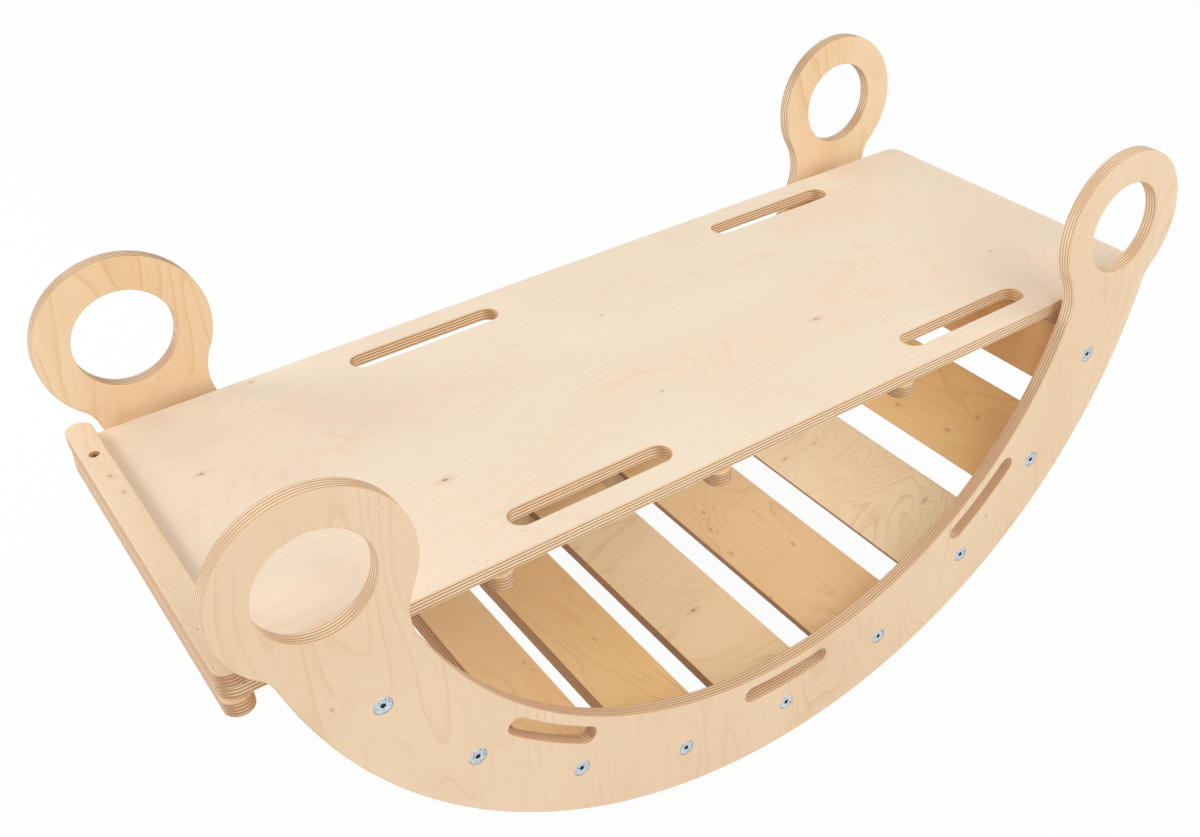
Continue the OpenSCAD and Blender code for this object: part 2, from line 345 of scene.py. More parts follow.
    def _edge(self, add: Adder, place: Socket, sides: list[Socket], marks: dict[str, Socket]) -> Socket:
        """Draw the layers on a cut edge.

        Args:
            add: Adds a node to the finish.
            place: The place on the sheet.
            sides: How far the surface faces along, across and through the sheet.
            marks: The markings by name.

        Returns:
            The edge's colour.
        """
        through = add("SeparateXYZ", inputs={0: place}, output="Z")
        per_metre = self.veneers / (self.thickness * MM)
        layer = add("Math", MULTIPLY_ADD, {0: through, 1: per_metre, 2: -self.wobble / 2})
        layer = add("Math", MULTIPLY_ADD, {0: marks["wobble"], 1: self.wobble, 2: layer})
        swing = add("Math", MULTIPLY_ADD, {0: layer, 1: math.pi, 2: math.pi / 2})
        swing = add("Math", COSINE, {0: swing})
        is_cross = add("MapRange", SMOOTH, {0: swing, START: 0.0, END: 0.5})
        shown = add("Mix", inputs={0: is_cross, 2: sides[0], 3: sides[1]})
        end = add("MapRange", SMOOTH, {0: shown, START: 0.25, END: 0.95})
        end = add("Math", MULTIPLY_ADD, {0: marks["ply_tint"], 1: self.tint, 2: end})
        end = add("Math", {"operation": "SUBTRACT", "use_clamp": True}, {0: end, 1: self.tint_floor})
        beat = add("Math", MULTIPLY, {0: layer, 1: math.tau})
        beat = add("Math", COSINE, {0: beat})
        glue = add("MapRange", SMOOTH, {0: beat, START: 0.8, END: 1.0, HIGH: 0.25})
        gap = add("MapRange", SMOOTH, {0: marks["void"], START: 0.77, END: 0.82})
        gap = add("Math", MULTIPLY, {0: gap, 1: is_cross})
        colour = linear(self.side_grain)
        for share, tone in ((end, self.end_grain), (glue, self.end_grain), (gap, self.knot)):
            colour = add("Mix", COLOURS, {0: share, FROM: colour, TO: linear(tone)}, MIXED)
        return colour


@dataclass(frozen=True)
class PatchyFinish:
    """One tone with patches of another, whose sizes along the part's axes are in millimetres."""

    name: str
    tone: str
    patch: str
    patch_size: Triple
    start: float
    end: float
    roughness: float
    most: float = 1.0
    detail: float = 2.0

    def material(self) -> Material:
        """Write the finish as a node material."""
        material, add = new_material(self.name)
        place = add("TexCoord", output="Object")
        scale = [1 / (size * MM) for size in self.patch_size]
        at = add("Mapping", inputs={"Vector": place, "Scale": scale})
        noise = add("TexNoise", inputs={"Vector": at, "Scale": 1.0, "Detail": self.detail})
        share = add("MapRange", SMOOTH, {0: noise, START: self.start, END: self.end, HIGH: self.most})
        colour = add("Mix", COLOURS, {0: share, FROM: linear(self.tone), TO: linear(self.patch)}, MIXED)
        shader = add("BsdfPrincipled", inputs={"Base Color": colour, **self._surface(add, noise)})
        add("OutputMaterial", inputs={"Surface": shader})
        return material

    def _surface(self, add: Adder, noise: Socket) -> dict[str, Socket | float]:
        """The shader's inputs other than its colour."""
        return {"Roughness": self.roughness, "IOR": 1.5}


@dataclass(frozen=True)
class BoredBirch(PatchyFinish):
    """The wall of a hole bored in birch plywood.

    To the eye it is bare end grain in a deep orange brown with darker patches; the orange brown and its
    patches are painted shade of the hole.
    """

    tone: str = "#C98F4E"
    patch: str = "#8E5A2B"
    patch_size: Triple = (1.5, 1.5, 1.5)
    start: float = 0.4
    end: float = 0.7
    roughness: float = 0.8


@dataclass(frozen=True)
class ZincPlatedSteel(PatchyFinish):
    """Zinc-plated steel, pressed and bright.

    To the eye it is a cool, slightly blue silver, which the driver has scuffed grey in places.
    """

    tone: str = "#CFDCE4"
    patch: str = "#566571"
    patch_size: Triple = (1.4, 1.4, 1.4)
    start: float = 0.5
    end: float = 0.66
    roughness: float = 0.3
    most: float = 0.75
    detail: float = 3.0
    smoother: float = 0.08
    rougher: float = 0.1

    def _surface(self, add: Adder, noise: Socket) -> dict[str, Socket | float]:
        """The shader's inputs other than its colour, with the plating's uneven gloss and relief."""
        spread = {LOW: self.roughness - self.smoother, HIGH: self.roughness + self.rougher}
        rough = add("MapRange", inputs={0: noise, **spread})
        bump = add("Bump", inputs={"Strength": 0.3, "Distance": RELIEF * MM, "Height": noise})
        return {"Metallic": 1.0, "Roughness": rough, "Normal": bump}


@dataclass(frozen=True)
class Beech(PatchyFinish):
    """Beech dowel rod, turned and left bare: pinkish tan with short darker flecks along the rod."""

    tone: str = "#D8B088"
    patch: str = "#A97B52"
    patch_size: Triple = (0.6, 5.0, 0.6)
    start: float = 0.45
    end: float = 0.7
    roughness: float = 0.6


# Work at the bench


def select_only(piece: Object) -> None:
    """Deselect everything, then select one piece and make it active."""
    bpy.ops.object.select_all(action="DESELECT")
    piece.select_set(True)
    bpy.context.view_layer.objects.active = piece


def select_faces(piece: Object, test: Callable[[bpy.types.MeshPolygon], bool]) -> None:
    """Enter edit mode with only those faces of the active piece selected that pass a test."""
    bpy.ops.object.mode_set(mode="EDIT")
    bpy.ops.mesh.select_mode(type="FACE")
    bpy.ops.mesh.select_all(action="DESELECT")
    bpy.ops.object.mode_set(mode="OBJECT")
    for polygon in piece.data.polygons:
        polygon.select = test(polygon)
    bpy.ops.object.mode_set(mode="EDIT")


def apply_modifier(piece: Object, kind: str, **settings: object) -> None:
    """Add a modifier with its settings and apply it."""
    select_only(piece)
    modifier = piece.modifiers.new(kind.title(), kind)
    for name, value in settings.items():
        setattr(modifier, name, value)
    bpy.ops.object.modifier_apply(modifier=modifier.name)


def arc(centre: Vector, start: Vector, end: Vector, anticlockwise: bool = True,
        with_end: bool = False) -> Loop:
    """Points round a centre, from start to end.

    Args:
        centre: The centre of the arc.
        start: Where it starts, which sets its radius.
        end: A point in the direction where it ends.
        anticlockwise: Which way round it goes.
        with_end: Whether the last point stands at the end, or just before it, where the next arc starts.

    Returns:
        Points that are no farther apart than the shared values allow.
    """
    spoke = start - centre
    radius = spoke.length
    begin = math.atan2(spoke.y, spoke.x)
    sweep = (math.atan2(end.y - centre.y, end.x - centre.x) - begin) % math.tau
    if not anticlockwise:
        sweep -= math.tau
    steps = max(2, math.ceil(abs(sweep) * radius / min(ARC_STEP, radius / ARC_STEPS_PER_RADIUS)))
    angles = [begin + sweep * i / steps for i in range(steps + with_end)]
    return [(centre.x + radius * math.cos(a), centre.y + radius * math.sin(a)) for a in angles]


def circle(centre: Vector, radius: float) -> Loop:
    """A closed circle, as two half turns."""
    left, right = centre - Vector((radius, 0)), centre + Vector((radius, 0))
    return arc(centre, left, right) + arc(centre, right, left)


def stadium(centre: Vector, length: float, width: float) -> Loop:
    """A slot with half-round ends, length long along x."""
    reach, half = (length - width) / 2, width / 2
    loop: Loop = []
    for side in (1, -1):
        end = centre + Vector((side * reach, 0))
        loop += arc(end, end - Vector((0, side * half)), end + Vector((0, side * half)), with_end=True)
    return loop


def rounded_rectangle(low: Vector, high: Vector, radius: float) -> Loop:
    """A rectangle between two corners, with rounded corners."""
    loop: Loop = []
    for x_sign, y_sign in ((1, -1), (1, 1), (-1, 1), (-1, -1)):
        corner = Vector((high.x if x_sign > 0 else low.x, high.y if y_sign > 0 else low.y))
        centre = corner - Vector((x_sign, y_sign)) * radius
        start, end = Vector((0, y_sign)), Vector((x_sign, 0))
        if x_sign == y_sign:
            start, end = end, start
        loop += arc(centre, centre + start * radius, centre + end * radius, with_end=True)
    return loop


@dataclass
class Cut:
    """A piece sawn from a plywood sheet, lying flat in its own plane."""

    name: str
    loops: list[Loop]
    thickness: float
    edge_round: float = 1.0
    grain: Grain = Grain.ALONG_X
    grain_slant: float = 0.0
    sheet_place: Pair = (0.0, 0.0)
    bores: list[tuple[Vector, float]] = field(default_factory=list)

    def blank(self) -> Object:
        """Saw the outline from the sheet and round its edges.

        Returns:
            A closed mesh in the outline's own plane, its thickness half above and half below.
        """
        curve = bpy.data.curves.new(self.name, "CURVE")
        curve.dimensions = "2D"
        curve.fill_mode = "BOTH"
        for loop in self.loops:
            spline = curve.splines.new("POLY")
            spline.points.add(len(loop) - 1)
            for point, (x, y) in zip(spline.points, loop):
                point.co = (x * MM, y * MM, 0.0, 1.0)
            spline.use_cyclic_u = True
        curve.bevel_depth = self.edge_round * MM
        curve.bevel_resolution = 3
        curve.offset = -self.edge_round * MM
        curve.extrude = (self.thickness / 2 - self.edge_round) * MM
        select_only(new_object(self.name, curve))
        bpy.ops.object.convert(target="MESH")
        piece = bpy.context.object
        bpy.ops.object.mode_set(mode="EDIT")
        bpy.ops.mesh.select_all(action="SELECT")
        bpy.ops.mesh.remove_doubles(threshold=WELD * MM)
        bpy.ops.mesh.normals_make_consistent(inside=False)
        bpy.ops.object.mode_set(mode="OBJECT")
        return piece

    def drill(self, piece: Object, places: Iterable[Vector], radius: float, depth: float) -> None:
        """Drill flat-bottomed holes down from the upper face.

        Args:
            piece: The blank.
            places: Where the holes are, in the outline's plane.
            radius: Their radius.
            depth: Their depth from the upper face.
        """
        cutters = []
        for place in places:
            bpy.ops.object.select_all(action="DESELECT")
            bpy.ops.mesh.primitive_cylinder_add(
                vertices=48, radius=radius * MM, depth=(depth + OVERRUN) * MM,
                location=(place.x * MM, place.y * MM, (self.thickness / 2 + (OVERRUN - depth) / 2) * MM))
            cutters.append(bpy.context.object)
            self.bores.append((place, radius))
        for cutter in cutters:
            cutter.select_set(True)
        bpy.ops.object.join()
        joined = bpy.context.object
        apply_modifier(piece, "BOOLEAN", operation="DIFFERENCE", solver="EXACT", object=joined)
        bpy.data.objects.remove(joined)

    def finish(self, piece: Object, place: Matrix, material: Material, bore: Material | None = None) -> None:
        """Sand, mark, place and dress a blank.

        Args:
            piece: The blank, with its holes drilled.
            place: Where it goes, from the outline's plane into the frame.
            material: Its finish.
            bore: The finish of the drilled holes' walls, where it isn't the piece's own: painted shade of
                the holes.
        """
        select_only(piece)
        bpy.ops.object.shade_smooth()
        apply_modifier(piece, "WEIGHTED_NORMAL", mode="FACE_AREA", weight=50)
        self._mark(piece.data)
        piece.data.materials.clear()
        piece.data.materials.append(material)
        # The bore finish paints shade on the drilled holes' walls
        if bore:
            piece.data.materials.append(bore)
            for face in piece.data.polygons:
                middle = face.center.xy / MM
                if any((middle - spot).length < WALL_REACH * radius for spot, radius in self.bores):
                    face.material_index = 1
        piece.data.transform(place)
        LOG.info("made %s", piece.name)

    def _mark(self, mesh: bpy.types.Mesh) -> None:
        """Store each point's place on the sheet, in metres, and each corner's facing there."""
        angle = math.radians(self.grain.value + self.grain_slant)
        turn = np.array(Matrix.Rotation(-angle, 3, "Z"), dtype=np.float32)
        start = np.array([*self.sheet_place, self.thickness / 2], dtype=np.float32) * MM
        points = np.empty(len(mesh.vertices) * 3, dtype=np.float32)
        mesh.vertices.foreach_get("co", points)
        sheet = points.reshape(-1, 3) @ turn.T + start
        mesh.attributes.new("sheet", "FLOAT_VECTOR", "POINT").data.foreach_set("vector", sheet.ravel())
        normals = np.empty(len(mesh.loops) * 3, dtype=np.float32)
        mesh.corner_normals.foreach_get("vector", normals)
        facing = normals.reshape(-1, 3) @ turn.T
        mesh.attributes.new("facing", "FLOAT_VECTOR", "CORNER").data.foreach_set("vector", facing.ravel())


# The rocker


@dataclass
class RockerSizes:
    """The driving sizes of the rocker, in millimetres and degrees."""

    ply: float = SHEET_THICKNESS
    outer_radius: float = 415.0
    arm_width: float = 87.0
    inside_width: float = 350.0
    ring_radius: float = 67.8
    ring_hole_radius: float = 40.0
    ring_inset: float = 49.0
    ring_angle: float = 83.1
    neck_radius: float = 50.0
    notch_radius: float = 25.0
    grip_from_inner: float = 17.0
    grip_width: float = 15.0
    grip_half_angle: float = 6.0
    grip_step_angle: float = 40.0
    slat_width: float = 81.0
    slat_inset: float = 40.0
    slat_step_angle: float = 16.2
    slat_count: int = 9

    @property
    def inner_radius(self) -> float:
        """Radius of the arm's inner edge."""
        return self.outer_radius - self.arm_width

    @property
    def slat_radius(self) -> float:
        """Radius out to the middle of a slat's thickness."""
        return self.outer_radius - self.slat_inset

    @property
    def half_outside(self) -> float:
        """Half the width over both panels."""
        return self.inside_width / 2 + self.ply

    def spot(self, radius: float, degrees: float) -> Vector:
        """A point of the side view, at an angle from straight down about the arc's centre."""
        angle = math.radians(degrees)
        return Vector((radius * math.sin(angle), self.outer_radius - radius * math.cos(angle)))

    def slat_angles(self) -> list[float]:
        """The angles of the slats, from left to right."""
        return [(i - (self.slat_count - 1) / 2) * self.slat_step_angle for i in range(self.slat_count)]


@dataclass
class SidePanels:
    """The two curved side panels with their handle rings."""

    sizes: RockerSizes
    front: BirchPlywood
    back: BirchPlywood
    recess_radius: float = 7.05
    recess_depth: float = 2.05
    bore_radius: float = 3.1
    front_on_sheet: Pair = (0.0, 0.0)
    back_on_sheet: Pair = (1270.0, 640.0)

    def _fillet_angle(self, fillet_at: float, reach: float) -> float:
        """Angle of a fillet's centre that lies at a radius and at a reach from the ring's centre."""
        ring_at = self.sizes.outer_radius - self.sizes.ring_inset
        cosine = (ring_at**2 + fillet_at**2 - reach**2) / (2 * ring_at * fillet_at)
        return self.sizes.ring_angle - math.degrees(math.acos(cosine))

    def _right_end(self) -> Loop:
        """The outline from the foot of the notch, round the ring, to the end of the neck."""
        s = self.sizes
        centre = Vector((0, s.outer_radius))
        ring = s.spot(s.outer_radius - s.ring_inset, s.ring_angle)
        notch_at = s.outer_radius + s.notch_radius
        notch = s.spot(notch_at, self._fillet_angle(notch_at, s.ring_radius + s.notch_radius))
        neck_at = s.inner_radius - s.neck_radius
        neck = s.spot(neck_at, self._fillet_angle(neck_at, s.ring_radius + s.neck_radius))
        notch_foot = centre + (notch - centre).normalized() * s.outer_radius
        notch_top = ring + (notch - ring).normalized() * s.ring_radius
        neck_top = ring + (neck - ring).normalized() * s.ring_radius
        neck_foot = centre + (neck - centre).normalized() * s.inner_radius
        loop = arc(notch, notch_foot, notch_top, anticlockwise=False)
        loop += arc(ring, notch_top, neck_top)
        return loop + arc(neck, neck_top, neck_foot, anticlockwise=False, with_end=True)

    def _grip(self, middle: float) -> Loop:
        """One grip slot, a stadium bent along the arc."""
        s = self.sizes
        centre = Vector((0, s.outer_radius))
        grip_at, half = s.inner_radius + s.grip_from_inner, s.grip_width / 2
        near, far = middle - s.grip_half_angle, middle + s.grip_half_angle
        outer = [s.spot(grip_at + half, a) for a in (near, far)]
        inner = [s.spot(grip_at - half, a) for a in (near, far)]
        loop = arc(centre, outer[0], outer[1])
        loop += arc(s.spot(grip_at, far), outer[1], inner[1])
        loop += arc(centre, inner[1], inner[0], anticlockwise=False)
        return loop + arc(s.spot(grip_at, near), inner[0], outer[0])

    def loops(self) -> list[Loop]:
        """The panel's outline, then its hand holes and grip slots, with y up."""
        s = self.sizes
        centre = Vector((0, s.outer_radius))
        right = self._right_end()
        left = [(-x, y) for x, y in reversed(right)]
        outline = arc(centre, Vector(left[-1]), Vector(right[0])) + right
        outline += arc(centre, Vector(right[-1]), Vector(left[0]), anticlockwise=False)[1:] + left[:-1]
        rings = [s.spot(s.outer_radius - s.ring_inset, side * s.ring_angle) for side in (-1, 1)]
        holes = [circle(ring, s.ring_hole_radius) for ring in rings]
        grips = [self._grip(k * s.grip_step_angle) for k in (-1, 0, 1)]
        return [outline, *holes, *grips]

    def build(self) -> None:
        """Make both panels and put them on the rocker."""
        s = self.sizes
        upright = Matrix.Rotation(math.radians(90), 4, "X")
        middle = (s.half_outside - s.ply / 2) * MM
        for side, finish, sheet_place in (
                ("front", self.front, self.front_on_sheet), ("back", self.back, self.back_on_sheet)):
            cut = Cut(f"panel_{side}", self.loops(), s.ply, grain=Grain.ALONG_Y, sheet_place=sheet_place)
            piece = cut.blank()
            screws = [s.spot(s.slat_radius, a) for a in s.slat_angles()]
            cut.drill(piece, screws, self.recess_radius, self.recess_depth)
            cut.drill(piece, screws, self.bore_radius, s.ply)
            place = Matrix.Translation((0, -middle, 0)) @ upright
            if side == "back":
                place = Matrix.Rotation(math.pi, 4, "Z") @ place
            cut.finish(piece, place, finish.material())
            register(piece, Body.ROCKER, f"side_panel_{side}")


@dataclass(frozen=True)
class SlatBoard:
    """What sets one slat apart: its tone, how it was sawn, and its pin knots by their place on it."""

    pale: str
    warm: str
    grain: Grain = Grain.ALONG_Y
    slant: float = 0.0
    rings: float = 14.0
    knots: tuple[Knot, ...] = ()


@dataclass
class Slats:
    """The nine flat slats between the panels."""

    sizes: RockerSizes
    finish: BirchPlywood
    boards: tuple[SlatBoard, ...]
    corner_radius: float = 1.2
    sheet_step: Pair = (431.0, 157.0)

    def build(self) -> None:
        """Make the slats and put them round the arc."""
        s = self.sizes
        half = Vector((s.slat_width / 2, s.inside_width / 2))
        outline = rounded_rectangle(-half, half, self.corner_radius)
        to_centre = Matrix.Translation((0, 0, s.outer_radius * MM))
        to_arc = Matrix.Translation((0, 0, -s.slat_radius * MM))
        for number, (angle, board) in enumerate(zip(s.slat_angles(), self.boards), start=1):
            along, across = (number * step for step in self.sheet_step)
            knots = tuple(
                replace(knot, along=knot.along + along, across=knot.across + across) for knot in board.knots)
            finish = replace(self.finish, name=f"slat_plywood_{number}", pale=board.pale, warm=board.warm,
                             rings=board.rings, knots=knots)
            cut = Cut(f"slat_board_{number}", [outline], s.ply, grain=board.grain, grain_slant=board.slant,
                      sheet_place=(along, across))
            place = to_centre @ Matrix.Rotation(math.radians(-angle), 4, "Y") @ to_arc
            piece = cut.blank()
            cut.finish(piece, place, finish.material())
            register(piece, Body.ROCKER, f"slat_{number}")


# The climbing board


@dataclass
class ClimbingBoard:
    """The loose board with its four slots, in the place that the frame gives."""

    finish: BirchPlywood
    corner_radius: float = 13.0
    slot_length: float = 137.4
    slot_width: float = 22.5
    slot_from_side: float = 33.8
    slot_middles: Pair = (-138.4, 237.4)

    def build(self) -> None:
        """Make the board."""
        low, high = (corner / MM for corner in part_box("board"))
        rim = rounded_rectangle(low.xy, high.xy, self.corner_radius)
        slots = [
            stadium(Vector((x, side * (high.y - self.slot_from_side))), self.slot_length, self.slot_width)
            for x in self.slot_middles for side in (-1, 1)]
        cut = Cut("climbing_board", [rim, *slots], high.z - low.z)
        place = Matrix.Translation((0, 0, (low.z + high.z) / 2 * MM))
        piece = cut.blank()
        cut.finish(piece, place, self.finish.material())
        register(piece, Body.DECK, "board")


@dataclass
class DeckSizes:
    """Sizes that the cross bars share with their screws, in millimetres."""

    rung_count: int = 5
    screw_inset: float = 51.0
    sunk_radius: float = 4.0
    batten_sink: float = 5.0
    rung_sink: float = 4.0

    def rungs(self) -> list[str]:
        """The CAD nodes of the rungs, from left to right."""
        return [f"rung_{number}" for number in range(1, self.rung_count + 1)]


@dataclass
class CrossBars:
    """The batten on top of the board and the rungs under it, with their sunk screw holes."""

    sizes: DeckSizes
    finish: BirchPlywood
    bore: BoredBirch
    sheet_step: Pair = (517.0, 83.0)

    def build(self) -> None:
        """Make the batten and the rungs."""
        s = self.sizes
        material, bore = self.finish.material(), self.bore.material()
        for number, node in enumerate(["end_batten", *s.rungs()]):
            low, high = (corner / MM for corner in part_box(node))
            middle, size = (low + high) / 2, high - low
            along, across = (number * step for step in self.sheet_step)
            outline = stadium(Vector((0, 0)), size.y, size.x)
            cut = Cut(f"{node}_bar", [outline], size.z, sheet_place=(along, across))
            piece = cut.blank()
            reach = size.y / 2 - s.screw_inset
            # The first rung has no sunk holes, because the batten's screws hold it from above
            if node != "rung_1":
                depth = s.batten_sink if node == "end_batten" else s.rung_sink
                cut.drill(piece, [Vector((-reach, 0)), Vector((reach, 0))], s.sunk_radius, depth)
            place = Matrix.Translation(middle * MM) @ Matrix.Rotation(math.radians(90), 4, "Z")
            if node != "end_batten":
                place = place @ Matrix.Rotation(math.pi, 4, "X")
            cut.finish(piece, place, material, bore)
            register(piece, Body.DECK, node)


# Screws


# How straight a screw's face looks along its axis where a step picks it
UPWARD = 0.9
STRAIGHT_UP = 0.99


@dataclass
class ScrewSizes:
    """A screw with a lobed recess, pointing down from its head's face, in millimetres and degrees."""

    head_radius: float
    head_thickness: float
    shank_radius: float
    length: float
    drive_radius: float
    drive_depth: float
    rim_width: float = 0.0
    rim_dish: float = 0.0
    dish_run: float = 2.0
    tip: float = 5.0
    tip_radius: float = 0.4
    lobes: int = 6
    lobe_share: float = 0.16
    edge_round: float = 0.35
    bit_round: float = 0.1
    smooth_angle: float = 32.0


@dataclass
class Screws:
    """One kind of screw, modelled once and copied to each place."""

    sizes: ScrewSizes
    plate: Material
    # The dark steel of the recess's walls and bottom: painted shade of the deep recess
    recess: Material

    def model(self) -> Object:
        """Model the screw, to be copied, with its face at the origin and its point down."""
        s = self.sizes
        bpy.ops.object.select_all(action="DESELECT")
        bpy.ops.mesh.primitive_cylinder_add(
            vertices=64, radius=s.head_radius * MM, depth=s.head_thickness * MM,
            location=(0, 0, -s.head_thickness / 2 * MM))
        screw = bpy.context.object
        bpy.ops.object.transform_apply(location=True, rotation=False, scale=False)
        select_faces(screw, lambda face: face.normal.z > UPWARD)
        bpy.ops.mesh.bevel(offset=s.edge_round * MM, segments=3, affect="EDGES")
        if s.rim_width:
            select_faces(screw, lambda face: face.normal.z > STRAIGHT_UP)
            bpy.ops.mesh.inset(thickness=s.rim_width * MM, depth=0)
            bpy.ops.mesh.inset(thickness=s.rim_dish * s.dish_run * MM, depth=-s.rim_dish * MM)
        select_faces(screw, lambda face: face.normal.z < -UPWARD)
        bpy.ops.mesh.inset(thickness=(s.head_radius - s.shank_radius) * MM, depth=0)
        for length, scale in ((s.length - s.tip, 1.0), (s.tip, s.tip_radius / s.shank_radius)):
            bpy.ops.mesh.extrude_region_move(TRANSFORM_OT_translate={"value": (0, 0, -length * MM)})
            bpy.ops.transform.resize(value=(scale, scale, 1.0))
        bpy.ops.object.mode_set(mode="OBJECT")
        screw.data.materials.append(self.plate)
        screw.data.materials.append(self.recess)
        self._cut_recess(screw)
        select_only(screw)
        bpy.ops.object.shade_smooth_by_angle(angle=math.radians(s.smooth_angle))
        return screw

    def _cut_recess(self, screw: Object) -> None:
        """Cut the lobed recess, and give its walls the dark steel, which is painted shade of the recess."""
        s = self.sizes
        mean = s.drive_radius * (1 - s.lobe_share / 2)
        swing = s.drive_radius * s.lobe_share
        steps = 72
        loop = []
        for i in range(steps):
            angle = math.tau * i / steps
            radius = mean + swing / 2 * math.cos(s.lobes * angle)
            loop.append((radius * math.cos(angle), radius * math.sin(angle)))
        tool = Cut("drive_bit", [loop], 2 * OVERRUN + s.drive_depth, edge_round=s.bit_round).blank()
        tool.data.transform(Matrix.Translation((0, 0, (OVERRUN - s.drive_depth / 2) * MM)))
        apply_modifier(screw, "BOOLEAN", operation="DIFFERENCE", solver="EXACT", object=tool)
        bpy.data.objects.remove(tool)
        # The recess's faces lie within its radius, and their middles below a third of its depth
        # Those faces take the dark steel, which is painted shade deep in the recess
        for face in screw.data.polygons:
            inside = face.center.xy.length < s.drive_radius * WALL_REACH * MM
            if inside and -s.head_thickness * MM < face.center.z < -s.drive_depth / 3 * MM:
                face.material_index = 1


def copy_screw(pattern: Object, name: str, place: Matrix) -> Object:
    """Copy a modelled screw to one place and name the copy."""
    screw = new_object(name, pattern.data.copy())
    screw.data.transform(place)
    return screw


@dataclass
class Fixings:
    """All the screws and pegs."""

    rocker: RockerSizes
    deck: DeckSizes
    head_sink: float = 0.25
    driven_step: float = 23.0

    def build(self, nodes: dict[str, Object]) -> None:
        """Make all the screws, and dress the pegs among the frame's nodes, which come by name."""
        bright = ZincPlatedSteel("zinc_plated_steel").material()
        # The recess steel is dark grey: painted shade of the deep drive recess
        shaded = ZincPlatedSteel("screw_recess_painted_shade", "#4E5C66", "#2C343A", roughness=0.5).material()
        dull = ZincPlatedSteel("dull_screw_steel", "#8B8D8E", "#5A5B5C", roughness=0.42).material()
        washer_head = ScrewSizes(
            head_radius=6.7, head_thickness=1.8, shank_radius=2.5, length=50.0, drive_radius=2.15,
            drive_depth=1.5, rim_width=1.5, rim_dish=0.16)
        small = ScrewSizes(
            head_radius=3.5, head_thickness=2.0, shank_radius=1.9, length=24.0, drive_radius=1.7,
            drive_depth=1.4)
        deck = self.deck
        batten = Screws(small, dull, shaded)
        rung = Screws(replace(small, length=15.0), dull, shaded)
        self._panel_screws(Screws(washer_head, bright, shaded))
        self._board_screws(batten, "batten_screws", ["end_batten"], deck.batten_sink, downwards=True)
        self._board_screws(rung, "rung_screws", deck.rungs()[1:], deck.rung_sink, downwards=False)
        pegs = Beech("beech_dowel").material()
        for node in ("slat_dowels_front", "slat_dowels_back"):
            nodes[node].data.materials.clear()
            nodes[node].data.materials.append(pegs)

    def _panel_screws(self, kind: Screws) -> None:
        """Put one washer-head screw at each end of each slat."""
        s = self.rocker
        pattern = kind.model()
        for side, sign in (("front", -1), ("back", 1)):
            for number, angle in enumerate(s.slat_angles(), start=1):
                spot = s.spot(s.slat_radius, angle)
                at = Vector((spot.x, sign * (s.half_outside - self.head_sink), spot.y)) * MM
                # Each screw stopped at its own angle when it was driven home
                driven = Matrix.Rotation(math.radians(number * self.driven_step), 4, "Z")
                turn = Matrix.Rotation(math.radians(-sign * 90), 4, "X")
                place = Matrix.Translation(at) @ turn @ driven
                screw = copy_screw(pattern, f"panel_screw_{side}_{number}", place)
                register(screw, Body.ROCKER, f"slat_screws_{side}")
        bpy.data.objects.remove(pattern)
        LOG.info("made the panel screws")

    def _board_screws(self, kind: Screws, node: str, bars: list[str], bore_depth: float,
                      downwards: bool) -> None:
        """Put two small screws in each bar.

        Args:
            kind: The kind of screw.
            node: The CAD node that they stand for.
            bars: The CAD nodes of the bars.
            bore_depth: How deep the bars' holes are, on whose bottoms the heads lie.
            downwards: Whether they go down from the top, or up from below.
        """
        pattern = kind.model()
        sink = bore_depth - kind.sizes.head_thickness
        for bar in bars:
            low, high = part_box(bar)
            middle = (low + high) / 2
            z = high.z - sink * MM if downwards else low.z + sink * MM
            turn = Matrix.Rotation(0.0 if downwards else math.pi, 4, "X")
            for number, sign in enumerate((-1, 1), start=1):
                y = sign * ((high.y - low.y) / 2 - self.deck.screw_inset * MM)
                place = Matrix.Translation((middle.x, y, z)) @ turn
                screw = copy_screw(pattern, f"{bar}_screw_{number}", place)
                register(screw, Body.DECK, node)
        bpy.data.objects.remove(pattern)
        LOG.info("made the %s", node)


# The studio


@dataclass(frozen=True)
class SoftBox:
    """A square lamp that aims at the object."""

    name: str
    place: Triple
    size: float
    power: float


